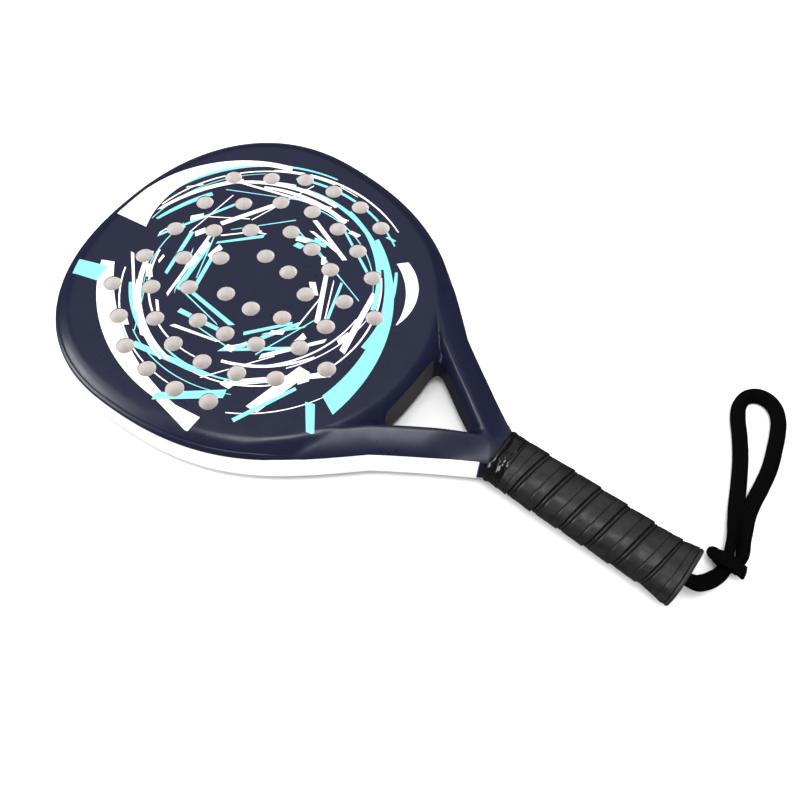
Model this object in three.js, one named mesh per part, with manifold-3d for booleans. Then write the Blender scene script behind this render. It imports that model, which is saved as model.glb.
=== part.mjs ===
// A padel racket lying on its rear face, in millimetres.
// X runs along the racket from the head's tip (-X) to the butt (+X), Y runs across it, +Z is up.
// The origin is on the surface it lies on, under the middle of its length.
import * as THREE from 'three';
import { mergeVertices } from 'three/addons/utils/BufferGeometryUtils.js';
import Module from 'manifold-3d';

const wasm = await Module();
wasm.setup();

// ---- driving dimensions ----
// Plan places are distances from the head's tip. place() moves the finished pieces to the origin.
const LENGTH = 455;
const WIDTH = 252;
const THICKNESS = 38;
const MID = THICKNESS / 2;
const GAP = 0.3;
// How far a cutting volume reaches past what it cuts.
const OVER = 2;

// Head outline: a superellipse nose, a long flank and a short flared neck.
const NOSE = { length: 107, exponent: 2.25, steps: 18 };
const FLANK = { from: [107, 126], pull: [186, 126], push: [217, 94.4], to: [261, 53.4], steps: 12 };
const NECK = { pull: [275, 43.4], push: [300, 27], to: [322, 13.8], steps: 6 };

// Frame: a flattened tube with rounded shoulders, bent round the head and joined at the neck.
const SHOULDER = { inset: 7.5, drop: 9, segments: 3 };
const FRAME_WIDTH = 20.8;
const TUBE = { outerWall: 5, innerWall: 2.5, low: 10, high: 28, end: 318, fillerEnd: 311 };
const TAIL_HALF_WIDTH = 2.5;
const THROAT_CHAMFER = 5;
// How far from the throat's corners at the bridge their rounding starts, along each side.
const THROAT_CORNER = { along: 13, steps: 5 };
const NECK_TAPER = { from: 285, drop: 5.5 };
const VALLEY = { from: [228, 70, 38.5], to: [264, 27, 36.5], startRadius: 0.6, endRadius: 7, sides: 20 };

// Each of these is a line across the head: where it crosses the axis, and the radius of the part
// within HALF_SPAN of the axis. Beyond that it goes on straight.
const HALF_SPAN = 80;
const SKIN_END = { x: 248, radius: 115 };
const CORE_END = { x: 237, radius: 120 };
const BRIDGE_END = { x: 253, radius: 280 };

const SKIN_THICKNESS = 0.8;
const HOLE = { radius: 6, sides: 10 };
const HOLE_ROWS = [
  { x: 50, across: [0, 30, 60] },
  { x: 72, across: [15, 46, 76] },
  { x: 92, across: [0, 31, 63, 90] },
  { x: 115, across: [20, 47, 70, 94] },
  { x: 136, across: [19, 44] },
  { x: 139, across: [69, 94] },
  { x: 157, across: [12, 38] },
  { x: 162, across: [62, 88] },
  { x: 181, across: [23] },
  { x: 184, across: [0, 50] },
  { x: 205, across: [25] },
];

const BAND = { low: 7, high: 29.5, depth: 0.8, end: 318 };

// Handle, from the inside out. Each pair is a half width and a half height.
const HANDLE_START = NECK.to[0];
const TANG = { half: [9, 8], bore: [5.5, 4.5], end: 446 };
const PALLET = { half: [13, 11], end: 446 };
const BASE_GRIP = { wall: 1.6, from: 323, to: 436 };
const COLLAR = { wall: 1.7, to: 331.7 };
const OVERGRIP = {
  pitch: 18.6, thin: 1.4, thick: 2.1, from: 332, to: 452, turnGap: 0.35, narrowest: 0.8,
};
const BUTT = { skirtFrom: 436.7, flange: 452.3, flare: 1.7, rim: 1.8, edge: 1 };
const SECTION_SIDES = 20;
const SECTION_EXPONENT = 3;

// Wrist strap: a braided cord that lies on the same surface as the racket.
const CORD = { radius: 4, sides: 10, hole: 5.2 };
const ANCHOR = { x: 437, radius: 4.2 };
const KNOT = { at: [472.6, 30.6, 6.5], half: [11, 8.5, 6.4], from: 22.6, to: 35.8, low: 0.1 };
const LEAD_ROUTE = [
  [441.6, 0, 19], [450, 0, 19], [456.8, 0.5, 18.6], [461.8, 3.2, 15.8],
  [464.8, 7.8, 11.4], [467.4, 12.4, 8.2], [469.6, 17.4, 6.2], [471.2, 22, 5.6],
];
const LOOP_ROUTE = [
  [468.4, 39.6, 5.6], [466.8, 46, 4.8], [464.2, 54, 4.3], [459.8, 67, 4.3], [453, 85, 4.3],
  [445.2, 103, 4.3], [437.6, 117, 4.3], [430.9, 128, 4.3], [427.6, 136.6, 4.3],
  [428.2, 144.6, 4.3], [433.2, 150.4, 4.3], [440.6, 152, 4.3], [447.8, 149.4, 4.3],
  [453.2, 143.2, 4.3], [457.2, 134, 4.3], [461, 121, 4.3], [464.4, 106.4, 4.3], [465.9, 91, 4.3],
  [466.6, 77, 4.3], [468.4, 65, 4.3], [472.4, 52, 4.6], [476.7, 39.6, 5.6],
];

// ---- materials ----
const finishes = {
  navy: { color: 0x30314a, roughness: 0.38, metalness: 0 },
  foam: { color: 0xcdc4c2, roughness: 0.9, metalness: 0 },
  fillerFoam: { color: 0xb9b4a8, roughness: 0.95, metalness: 0 },
  white: { color: 0xfbfbfb, roughness: 0.4, metalness: 0 },
  pallet: { color: 0x8a8478, roughness: 0.9, metalness: 0 },
  grip: { color: 0x2e2e2e, roughness: 0.5, metalness: 0 },
  cushion: { color: 0x1d1d1f, roughness: 0.85, metalness: 0 },
  tape: { color: 0x161616, roughness: 0.22, metalness: 0 },
  cap: { color: 0x121212, roughness: 0.6, metalness: 0 },
  braid: { color: 0x0d0d0e, roughness: 0.9, metalness: 0 },
};

// ---- solids and meshes ----
function solidFrom(geometry) {
  const bare = geometry.clone();
  bare.deleteAttribute('normal');
  bare.deleteAttribute('uv');
  const merged = mergeVertices(bare, 1e-4);
  return new wasm.Manifold(new wasm.Mesh({
    numProp: 3,
    vertProperties: new Float32Array(merged.attributes.position.array),
    triVerts: new Uint32Array(merged.index.array),
  }));
}

function geometryFrom(solid) {
  const { vertProperties, triVerts } = solid.getMesh();
  const geometry = new THREE.BufferGeometry();
  geometry.setAttribute('position', new THREE.BufferAttribute(vertProperties, 3));
  geometry.setIndex(new THREE.BufferAttribute(triVerts, 1));
  return geometry;
}

const racket = new THREE.Group();

// Adds one piece to the racket. Every piece is built with the head's tip at X = 0.
function place(name, finish, geometry) {
  geometry.translate(-LENGTH / 2, 0, 0);
  const shaded = geometry.index ? geometry.toNonIndexed() : geometry;
  shaded.computeVertexNormals();
  const mesh = new THREE.Mesh(shaded, new THREE.MeshStandardMaterial(finishes[finish]));
  mesh.name = name;
  racket.add(mesh);
}

function prism(shapes, low, high) {
  const geometry = new THREE.ExtrudeGeometry(shapes, { depth: high - low, bevelEnabled: false });
  geometry.translate(0, 0, low);
  return solidFrom(geometry);
}

function box(low, high) {
  const size = high.map((value, axis) => value - low[axis]);
  const geometry = new THREE.BoxGeometry(...size);
  geometry.translate(...low.map((value, axis) => value + size[axis] / 2));
  return solidFrom(geometry);
}

// ---- plan outlines ----
const point = ([x, y]) => new THREE.Vector2(x, y);

function noseHalf() {
  const power = 2 / NOSE.exponent;
  return Array.from({ length: NOSE.steps }, (_, step) => {
    const angle = (step / NOSE.steps) * Math.PI / 2;
    const x = NOSE.length * (1 - Math.cos(angle) ** power);
    return new THREE.Vector2(x, WIDTH / 2 * Math.sin(angle) ** power);
  });
}

// The head's outline on the +Y side, from the tip to the neck's end.
function outlineHalf() {
  const flank = new THREE.CubicBezierCurve(
    point(FLANK.from), point(FLANK.pull), point(FLANK.push), point(FLANK.to));
  const neck = new THREE.CubicBezierCurve(
    point(FLANK.to), point(NECK.pull), point(NECK.push), point(NECK.to));
  return [...noseHalf(), ...flank.getPoints(FLANK.steps), ...neck.getPoints(NECK.steps).slice(1)];
}

// The same half outline moved inwards, ended where it comes within halfEnd of the axis or passes endX.
function insetHalf(distance, { halfEnd = TAIL_HALF_WIDTH, endX = LENGTH } = {}) {
  const half = outlineHalf();
  const moved = half.map((at, index) => {
    const before = half[Math.max(index - 1, 0)];
    const after = half[Math.min(index + 1, half.length - 1)];
    const along = index === 0 ? new THREE.Vector2(0, 1) : after.clone().sub(before).normalize();
    return new THREE.Vector2(at.x + distance * along.y, at.y - distance * along.x);
  });
  moved[0].y = 0;
  const kept = [];
  for (const at of moved) {
    const last = kept.at(-1);
    const outside = at.x > endX || (kept.length > NOSE.steps && at.y < halfEnd);
    if (!outside) {
      kept.push(at);
      continue;
    }
    const share = at.x > endX ? (endX - last.x) / (at.x - last.x) : (last.y - halfEnd) / (last.y - at.y);
    kept.push(last.clone().lerp(at, Math.min(share, 1)));
    break;
  }
  return kept;
}

const mirrored = (points) => points.map((at) => new THREE.Vector2(at.x, -at.y)).reverse();

// A closed shape from its +Y half, whose first point is on the axis.
const closedShape = (half) => new THREE.Shape([...half, ...mirrored(half.slice(1))]);

const insetShape = (distance, options) => closedShape(insetHalf(distance, options));

// A strip that follows the outline from one arm, round the tip, to the other arm.
function rimShape(outer, inner, endX) {
  const outside = insetHalf(outer, { endX });
  const inside = insetHalf(inner, { endX });
  return new THREE.Shape([
    ...outside.slice().reverse(), ...mirrored(outside.slice(1)).reverse(),
    ...mirrored(inside.slice(1)), ...inside,
  ]);
}

// Everything on the tip's side of a line that bulges towards the handle.
function sideOf({ x, radius }) {
  const reach = WIDTH;
  const centre = x - radius;
  const turn = Math.asin(HALF_SPAN / radius);
  const farX = centre + radius * Math.cos(turn) - reach * Math.sin(turn);
  const farY = HALF_SPAN + reach * Math.cos(turn);
  const shape = new THREE.Shape();
  shape.moveTo(-reach, -farY);
  shape.lineTo(farX, -farY);
  shape.absarc(centre, 0, radius, -turn, turn, false);
  shape.lineTo(farX, farY);
  shape.lineTo(-reach, farY);
  return shape;
}

const grown = (end, by) => ({ x: end.x + by, radius: end.radius + by });

// ---- the head's tools: volumes that more than one piece is cut by ----
const THROUGH = [-OVER, THICKNESS + OVER];
const skinLow = THICKNESS - SKIN_THICKNESS;

function headPlate(inset, end, low, high) {
  return prism(insetShape(inset), low, high).intersect(prism(sideOf(end), low - OVER, high + OVER));
}

function skinRecess() {
  const plate = (low, high) => headPlate(SHOULDER.inset - GAP, grown(SKIN_END, GAP), low, high);
  return plate(skinLow - GAP, THICKNESS + OVER).add(plate(-OVER, SKIN_THICKNESS + GAP));
}

// The opening between the bridge and the arms, on the +Y side. Its corner at the bridge is rounded.
function throatHalf() {
  const { x, radius } = BRIDGE_END;
  const onBridge = (y) => new THREE.Vector2(x - radius + Math.sqrt(radius ** 2 - y ** 2), y);
  const arm = insetHalf(FRAME_WIDTH).filter((at) => at.x > onBridge(at.y).x);
  const [corner] = arm;
  const bridgeSide = onBridge(corner.y - THROAT_CORNER.along);
  const armSide = arm.filter((at) => at.distanceTo(corner) > THROAT_CORNER.along);
  const bend = new THREE.QuadraticBezierCurve(bridgeSide, corner, armSide[0]).getPoints(THROAT_CORNER.steps);
  return [onBridge(0), ...bend, ...armSide.slice(1)];
}

// The throat opening's edges, cut back by a slanted face on both sides of the racket.
function throatChamfer() {
  const bevel = THROAT_CHAMFER;
  const geometry = new THREE.ExtrudeGeometry(closedShape(throatHalf()), {
    depth: 1, bevelThickness: bevel, bevelSize: bevel, bevelSegments: 1,
  });
  const top = solidFrom(geometry.clone().translate(0, 0, THICKNESS));
  const bottom = solidFrom(geometry.clone().translate(0, 0, -1));
  return top.add(bottom);
}

// One tapered scoop between the head and an arm. side is 1 or -1 across, up is 1 or -1 for the face.
function valley(side, up) {
  const start = new THREE.Vector3(...VALLEY.from);
  const end = new THREE.Vector3(...VALLEY.to);
  for (const at of [start, end]) {
    at.y *= side;
    at.z = MID + up * (at.z - MID);
  }
  const length = start.distanceTo(end);
  const profile = [[0, 0], [VALLEY.startRadius, 0], [VALLEY.endRadius, length], [0, length]];
  const geometry = new THREE.LatheGeometry(profile.map(point), VALLEY.sides);
  const turn = new THREE.Quaternion().setFromUnitVectors(
    new THREE.Vector3(0, 1, 0), end.clone().sub(start).normalize());
  geometry.applyQuaternion(turn);
  geometry.translate(start.x, start.y, start.z);
  return solidFrom(geometry);
}

function cutValleys(solid) {
  let cut = solid;
  for (const side of [1, -1]) {
    for (const up of [1, -1]) {
      cut = cut.subtract(valley(side, up));
    }
  }
  return cut;
}

function holeShapes() {
  const shapes = [];
  for (const row of HOLE_ROWS) {
    for (const y of row.across) {
      for (const side of y === 0 ? [1] : [1, -1]) {
        const corners = Array.from({ length: HOLE.sides }, (_, step) => {
          const angle = (step + 0.5) / HOLE.sides * 2 * Math.PI;
          return new THREE.Vector2(
            row.x + HOLE.radius * Math.cos(angle), side * y + HOLE.radius * Math.sin(angle));
        });
        shapes.push(new THREE.Shape(corners));
      }
    }
  }
  return shapes;
}

// ---- head pieces ----
function roundedBlank() {
  const half = [...outlineHalf(), point([HANDLE_START, TANG.half[0]]), point([TANG.end, TANG.half[0]])];
  const geometry = new THREE.ExtrudeGeometry(closedShape(half), {
    depth: THICKNESS - 2 * SHOULDER.drop,
    bevelThickness: SHOULDER.drop,
    bevelSize: SHOULDER.inset,
    bevelOffset: -SHOULDER.inset,
    bevelSegments: SHOULDER.segments,
  });
  geometry.translate(0, 0, SHOULDER.drop);
  return solidFrom(geometry);
}

// Wedges above and below the neck, and everything round the tang.
function neckCuts() {
  const { from, drop } = NECK_TAPER;
  const wedge = new THREE.Shape([
    point([from, 0]), point([HANDLE_START, -drop]), point([HANDLE_START, OVER]), point([from, OVER]),
  ]);
  const side = new THREE.ExtrudeGeometry(wedge, { depth: WIDTH, bevelEnabled: false });
  side.rotateX(Math.PI / 2);
  side.translate(0, WIDTH / 2, THICKNESS);
  const top = solidFrom(side);
  const flipped = side.clone().rotateX(Math.PI);
  flipped.translate(0, 0, THICKNESS);
  const reach = WIDTH / 2;
  const [, tangHalfHeight] = TANG.half;
  const above = box([HANDLE_START, -reach, MID + tangHalfHeight], [LENGTH, reach, THICKNESS + OVER]);
  const below = box([HANDLE_START, -reach, -OVER], [LENGTH, reach, MID - tangHalfHeight]);
  return top.add(solidFrom(flipped)).add(above).add(below);
}

// The space round the head inside the tube, open to the tang's bore at the neck.
function tubeHollow() {
  const { outerWall, innerWall, low, high, end, fillerEnd } = TUBE;
  const outside = prism(insetShape(outerWall, { endX: end }), low, high);
  const inside = prism(insetShape(FRAME_WIDTH - innerWall), ...THROUGH);
  const [halfWidth, halfHeight] = TANG.bore;
  const bore = box(
    [fillerEnd + GAP, -halfWidth, MID - halfHeight], [TANG.end + OVER, halfWidth, MID + halfHeight]);
  return outside.subtract(inside).add(bore);
}

function bandRecess() {
  return prism(rimShape(-OVER, BAND.depth + GAP, BAND.end + GAP), BAND.low - GAP, BAND.high + GAP);
}

function frameTube() {
  const tube = roundedBlank()
    .subtract(prism(insetShape(FRAME_WIDTH), ...THROUGH))
    .subtract(throatChamfer())
    .subtract(skinRecess())
    .subtract(bandRecess())
    .subtract(neckCuts())
    .subtract(tubeHollow());
  return geometryFrom(cutValleys(tube));
}

function frameFiller() {
  const { outerWall, innerWall, low, high, fillerEnd } = TUBE;
  const outside = prism(insetShape(outerWall + GAP, { endX: fillerEnd }), low + GAP, high - GAP);
  return geometryFrom(outside.subtract(prism(insetShape(FRAME_WIDTH - innerWall - GAP), ...THROUGH)));
}

function throatBridge() {
  const corners = grown(BRIDGE_END, THROAT_CORNER.along);
  const beam = headPlate(FRAME_WIDTH + GAP, corners, 0, THICKNESS)
    .subtract(prism(closedShape(throatHalf()), ...THROUGH))
    .subtract(prism(sideOf(CORE_END), ...THROUGH))
    .subtract(throatChamfer())
    .subtract(skinRecess());
  return geometryFrom(cutValleys(beam));
}

function foamCore() {
  const low = SKIN_THICKNESS + GAP;
  const slab = headPlate(FRAME_WIDTH + GAP, grown(CORE_END, -GAP), low, THICKNESS - low);
  return geometryFrom(slab.subtract(prism(holeShapes(), ...THROUGH)));
}

function faceSkin(low) {
  const plate = headPlate(SHOULDER.inset, SKIN_END, low, low + SKIN_THICKNESS);
  return geometryFrom(plate.subtract(prism(holeShapes(), ...THROUGH)));
}

function edgeBand() {
  return geometryFrom(prism(rimShape(0, BAND.depth, BAND.end), BAND.low, BAND.high));
}

// ---- handle pieces ----
// A point on the handle's section, a rounded rectangle, at one of its evenly spaced sides.
function sectionPoint(side, [halfWidth, halfHeight]) {
  const angle = (side + 0.5) / SECTION_SIDES * 2 * Math.PI;
  const cos = Math.cos(angle);
  const sin = Math.sin(angle);
  const spread = (Math.abs(cos) ** SECTION_EXPONENT + Math.abs(sin) ** SECTION_EXPONENT);
  const radius = spread ** (-1 / SECTION_EXPONENT);
  return [halfWidth * radius * cos, MID + halfHeight * radius * sin];
}

// A solid skinned over closed rings that all have the same number of corners.
function skinned(rings) {
  const count = rings[0].length;
  const positions = rings.flat(2);
  const faces = [];
  for (let ring = 0; ring < rings.length - 1; ring += 1) {
    const next = ring + 1;
    for (let corner = 0; corner < count; corner += 1) {
      const a = ring * count + corner;
      const b = ring * count + (corner + 1) % count;
      const c = next * count + corner;
      const d = next * count + (corner + 1) % count;
      faces.push(a, b, c, b, d, c);
    }
  }
  const last = (rings.length - 1) * count;
  for (let corner = 1; corner < count - 1; corner += 1) {
    faces.push(0, corner + 1, corner);
    faces.push(last, last + corner, last + corner + 1);
  }
  const geometry = new THREE.BufferGeometry();
  geometry.setAttribute('position', new THREE.Float32BufferAttribute(positions, 3));
  geometry.setIndex(faces);
  return geometry;
}

// A solid bar along X through stations of [x, [halfWidth, halfHeight]].
function bar(stations) {
  const rings = stations.map(([x, half]) => Array.from({ length: SECTION_SIDES }, (_, side) => {
    const [y, z] = sectionPoint(side, half);
    return [x, y, z];
  }));
  return skinned(rings);
}

const enlarged = ([width, height], by) => [width + by, height + by];

const gripInside = enlarged(PALLET.half, GAP);
const gripOutside = enlarged(gripInside, BASE_GRIP.wall);
const wrapInside = enlarged(gripOutside, GAP);

function sleeve(from, to, inside, wall) {
  const outer = solidFrom(bar([[from, enlarged(inside, wall)], [to, enlarged(inside, wall)]]));
  const inner = solidFrom(bar([[from - OVER, inside], [to + OVER, inside]]));
  return outer.subtract(inner);
}

// Half of the handle's moulded body, with a channel for the tang. up is 1 for the front half.
function palletHalf(up) {
  const from = HANDLE_START + GAP;
  const body = solidFrom(bar([[from, PALLET.half], [PALLET.end, PALLET.half]]));
  const [tangWidth, tangHeight] = enlarged(TANG.half, GAP);
  const channel = box(
    [from - OVER, -tangWidth, MID - tangHeight], [PALLET.end + OVER, tangWidth, MID + tangHeight]);
  const reach = WIDTH;
  const split = MID + up * GAP / 2;
  const half = up > 0
    ? box([0, -reach, split], [LENGTH, reach, THICKNESS])
    : box([0, -reach, 0], [LENGTH, reach, split]);
  return geometryFrom(body.subtract(channel).intersect(half));
}

// The butt's flare: how much wider than the grip the handle is at x.
function flareAt(x) {
  const share = (x - BUTT.skirtFrom) / (BUTT.flange - BUTT.skirtFrom);
  return BUTT.flare * THREE.MathUtils.clamp(share, 0, 1);
}

function buttCap() {
  const { skirtFrom, flange, flare, rim, edge } = BUTT;
  const skirt = (x) => [x, enlarged(gripOutside, flareAt(x))];
  const rimHalf = enlarged(wrapInside, flare + rim);
  const blank = solidFrom(bar([skirt(skirtFrom), skirt(LENGTH - edge)])).add(solidFrom(bar([
    [flange, rimHalf], [LENGTH - edge, rimHalf], [LENGTH, enlarged(rimHalf, -edge)],
  ])));
  const socket = solidFrom(bar([[skirtFrom - OVER, gripInside], [PALLET.end + GAP, gripInside]]));
  const hole = new THREE.CylinderGeometry(CORD.hole, CORD.hole, LENGTH, SECTION_SIDES);
  hole.rotateZ(Math.PI / 2);
  hole.translate(LENGTH, 0, MID);
  return geometryFrom(blank.subtract(socket).subtract(solidFrom(hole)));
}

// One strip wound round the handle. Each turn is thicker at the edge that covers the next one.
// Over the front face the strip runs from -Y towards the butt on +Y.
function overgrip() {
  const { pitch, thin, thick, from, to, turnGap, narrowest } = OVERGRIP;
  const turns = (to - from) / pitch + 1;
  const steps = Math.floor(turns * SECTION_SIDES);
  const corner = (step, x, thickness) => {
    const [y, z] = sectionPoint(-step, enlarged(wrapInside, flareAt(x) + thickness));
    return [x, y, z];
  };
  const rings = [];
  for (let step = 1; step < steps; step += 1) {
    const edge = from + pitch * (step / SECTION_SIDES - 1);
    const near = Math.max(edge, from);
    const far = Math.min(edge + pitch - turnGap, to);
    if (far - near > narrowest) {
      rings.push([
        corner(step, near, thin), corner(step, far, thick), corner(step, far, 0), corner(step, near, 0),
      ]);
    }
  }
  return skinned(rings);
}

// ---- wrist strap ----
function cordTube(route) {
  const curve = new THREE.CatmullRomCurve3(
    route.map(([x, y, z]) => new THREE.Vector3(x, y, z)), false, 'centripetal');
  const section = new THREE.Shape(Array.from({ length: CORD.sides }, (_, side) => {
    const angle = side / CORD.sides * 2 * Math.PI;
    return new THREE.Vector2(CORD.radius * Math.cos(angle), CORD.radius * Math.sin(angle));
  }));
  const steps = Math.ceil(curve.getLength() / (CORD.radius * 2.5));
  return new THREE.ExtrudeGeometry(section, { steps, extrudePath: curve, bevelEnabled: false });
}

// The knot is a lump round the place where the lead becomes the loop. It is cut flat where the cord
// meets it and where it lies on the surface.
function knot() {
  const { at, half, from, to, low } = KNOT;
  const geometry = new THREE.SphereGeometry(1, 14, 10);
  geometry.scale(...half);
  geometry.translate(...at);
  let lump = solidFrom(geometry);
  for (const route of [LEAD_ROUTE, LOOP_ROUTE]) {
    lump = lump.subtract(solidFrom(cordTube(route)));
  }
  return lump.intersect(box([0, from, low], [LENGTH * 2, to, THICKNESS]));
}

// The stop knot inside the butt, which holds the lead's end.
function anchor() {
  const geometry = new THREE.SphereGeometry(ANCHOR.radius, 12, 8);
  geometry.translate(ANCHOR.x, 0, MID);
  return geometry;
}

// ---- the racket ----
place('frame_tube', 'navy', frameTube());
place('frame_filler', 'fillerFoam', frameFiller());
place('throat_bridge', 'navy', throatBridge());
place('foam_core', 'foam', foamCore());
place('face_front', 'navy', faceSkin(skinLow));
place('face_rear', 'navy', faceSkin(0));
place('edge_band', 'white', edgeBand());
place('handle_pallet_front', 'pallet', palletHalf(1));
place('handle_pallet_rear', 'pallet', palletHalf(-1));
place('base_grip', 'cushion', geometryFrom(
  sleeve(BASE_GRIP.from, BASE_GRIP.to, gripInside, BASE_GRIP.wall)));
place('overgrip', 'grip', overgrip());
place('collar_tape', 'tape', geometryFrom(
  sleeve(HANDLE_START + GAP, COLLAR.to, wrapInside, COLLAR.wall)));
place('butt_cap', 'cap', buttCap());
place('strap_anchor', 'braid', anchor());
place('strap_lead', 'braid', cordTube(LEAD_ROUTE));
place('strap_loop', 'braid', cordTube(LOOP_ROUTE));
place('strap_knot', 'braid', geometryFrom(knot()));

export default racket;
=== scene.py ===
"""A padel racket lying on a white floor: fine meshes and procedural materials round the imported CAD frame.

Plan places are in millimetres from the head's tip, as the CAD part has them; row() turns them into metres
in the row frame. X runs from the tip to the butt, Y across the racket and Z up.
"""

import math
import random

import bpy
import numpy as np
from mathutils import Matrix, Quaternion, Vector, noise
from mathutils.geometry import delaunay_2d_cdt


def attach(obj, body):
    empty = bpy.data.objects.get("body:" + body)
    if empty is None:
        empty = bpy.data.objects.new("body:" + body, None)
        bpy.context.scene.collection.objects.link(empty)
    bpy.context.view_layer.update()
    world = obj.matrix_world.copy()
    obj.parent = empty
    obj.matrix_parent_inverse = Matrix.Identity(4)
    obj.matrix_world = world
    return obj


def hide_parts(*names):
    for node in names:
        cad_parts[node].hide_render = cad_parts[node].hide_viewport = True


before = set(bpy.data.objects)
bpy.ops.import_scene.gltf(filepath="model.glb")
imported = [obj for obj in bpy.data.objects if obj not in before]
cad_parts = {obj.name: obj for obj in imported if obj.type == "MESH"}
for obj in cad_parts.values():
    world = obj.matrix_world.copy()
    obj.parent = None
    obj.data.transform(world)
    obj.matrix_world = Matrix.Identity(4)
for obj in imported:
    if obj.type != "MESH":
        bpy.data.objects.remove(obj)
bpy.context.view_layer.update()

# ---- the racket's dimensions, in millimetres ----
LENGTH = 455
WIDTH = 252
THICKNESS = 38
MID = THICKNESS / 2
NECK_END = 322

NOSE_LENGTH = 107
NOSE_EXPONENT = 2.25
FLANK = [(107, 126), (186, 126), (217, 94.4), (261, 53.4)]
NECK = [(261, 53.4), (275, 43.4), (300, 27), (322, 13.8)]

SHOULDER_FOOT = 29.3
CREASE = 3.0
CREASE_TOP = 33.6
PLATEAU = 13
SHOULDER_RUN = CREASE + 0.5
FACE_INSET = 7.5
ARM_WIDTH = 20.8
TAIL_HALF_WIDTH = 2.5
THROAT_CORNER = 13
# The arms' ridge line, and the slopes that fall from it to the outline and to the throat. The inner slope is
# drawn from a little above the ridge, so that rounding the two together doesn't lower it.
CREST = {
    "from_edge": 16.2, "height": 37.7, "outer_fall": 5.4, "inner_fall": 1.6, "inner_curl": 7.6,
    "inner_lift": 0.2, "blend": 1.4, "neck_drop": 4.8, "drop_from": 282,
}
# Past this place the two arms run into each other, and their ridges are blended over this width.
NECK_JOIN = {"from": 275, "blend": 6}
# The ridges start sunk below the head's plate, and have risen to their full height at the far place.
ARM_RISE = {"from": 196, "to": 236, "sunk": 40, "valley": 1.6}
# Past the face sheet the head slopes down towards the throat.
THROAT_SLOPE = {"lift": 0.5, "fall": 0.95, "blend": 3.5}
GROOVE = {"depth": 0.4, "half_width": 0.3}
LIP = {"reach": 1.4, "drop": 1.3}
# A blend this small leaves a corner sharp.
SHARP = 1e-6
BRIDGE_END = {"x": 253, "radius": 280}
FACE_END = {"x": 248, "radius": 115, "half_span": 80}

SKIN = 0.8
HOLE_RADIUS = 6
HOLE_SIDES = 40
HOLE_ROWS = [
    (50, (0, 30, 60)), (72, (15, 46, 76)), (92, (0, 31, 63, 90)), (115, (20, 47, 70, 94)),
    (136, (19, 44)), (139, (69, 94)), (157, (12, 38)), (162, (62, 88)),
    (181, (23,)), (184, (0, 50)), (205, (25,)),
]
BAND = {"low": 5.4, "round_from": 8, "high": 29.6, "end": 318, "proud": 0.14, "depth": 0.5}
CORE = {"short_of_face": 13, "end_curve": 240, "edge_gap": 0.3, "hole_gap": 0.15, "skin_gap": 0.05}

WRAP_INSIDE = (15.2, 13.2)
SECTION_EXPONENT = 3
TAPE = {"pitch": 18.6, "from": 332, "to": 452, "thin": 1.4, "thick": 2.1}
# Where the strip's pressed lines are across it, and each line's half width.
TAPE_LINES = ((0.3, 0.5), (2.9, 0.34), (12.4, 0.14))
# Where the strip has its points across it: close together at its pressed lines and at its edges.
TAPE_STATIONS = (
    0, 0.15, 0.3, 0.5, 0.75, 1.1, 1.7, 2.3, 2.55, 2.75, 2.9, 3.05, 3.25, 3.5, 4.3, 6, 8, 10, 11.4, 12.0,
    12.25, 12.4, 12.55, 12.8, 13.6, 15, 16.4, 17.4, 18.0, 18.2, 18.35, 18.47, 18.55,
)
FLARE = {"from": 436.7, "to": 452.3, "by": 1.7}
BUTT = {"flange": 452.3, "rim": 1.9, "hole": 5.2}
COLLAR = {"from": 322.2, "to": 333.6, "inside": 0.1, "stands": 1.45, "wave": 0.18}

CORD_WIDTH = 10.2
CORD_THICKNESS = 6.2
CORD_DROP = 0.75
# The cord's width and thickness in the butt's hole, and in the turn that makes the knot.
CORD_IN_HOLE = (7.6, 6.4)
CORD_IN_KNOT = (9.4, 3.9)
# How much narrower the cord is in the knot and thinner at the loop's far end, and its tilt there in radians.
KNOT_SQUEEZE = 1.2
APEX_THINNING = 1.0
KNOT_TILT = 1.2
APEX_TILT = 0.75
# A cord that is tilted stands higher by this much for each radian.
TILT_LIFT = 1.35
RIB_PITCH = 1.8
LEAD_ROUTE = [
    (441.6, 0, 19), (450, 0, 19), (456.8, 0.5, 18.6), (461.8, 3.2, 15.8),
    (464.8, 7.8, 11.4), (467.4, 12.4, 8.2), (469.6, 17.4, 6.2), (471.2, 22, 5.6),
]
LOOP_ROUTE = [
    (468.4, 39.6, 5.6), (466.8, 46, 4.8), (464.2, 54, 4.3), (459.8, 67, 4.3), (453, 85, 4.3),
    (445.2, 103, 4.3), (437.6, 117, 4.3), (430.9, 128, 4.3), (427.6, 136.6, 4.3),
    (428.2, 144.6, 4.3), (433.2, 150.4, 4.3), (440.6, 152, 4.3), (447.8, 149.4, 4.3),
    (453.2, 143.2, 4.3), (457.2, 134, 4.3), (461, 121, 4.3), (464.4, 106.4, 4.3), (465.9, 91, 4.3),
    (466.6, 77, 4.3), (468.4, 65, 4.3), (472.4, 52, 4.6), (476.7, 39.6, 5.6),
]


def row(points):
    """Millimetres from the head's tip become metres in the row frame."""
    return (np.asarray(points, float) - (LENGTH / 2, 0, 0)) / 1000


# ---- small tools ----
def smoothstep(low, high, value):
    share = np.clip((np.asarray(value, float) - low) / (high - low), 0, 1)
    return share * share * (3 - 2 * share)


def smooth_min(first, second, blend):
    """The lower of two heights, with the corner between them rounded over about blend."""
    overlap = np.maximum(blend - np.abs(first - second), 0) / blend
    return np.minimum(first, second) - overlap ** 2 * blend / 4


def smooth_max(first, second, blend):
    return -smooth_min(-first, -second, blend)


def bezier(corners, steps):
    t = np.linspace(0, 1, steps)[:, None]
    a, b, c, d = (np.array(corner, float) for corner in corners)
    return (1 - t) ** 3 * a + 3 * (1 - t) ** 2 * t * b + 3 * (1 - t) * t ** 2 * c + t ** 3 * d


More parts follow.
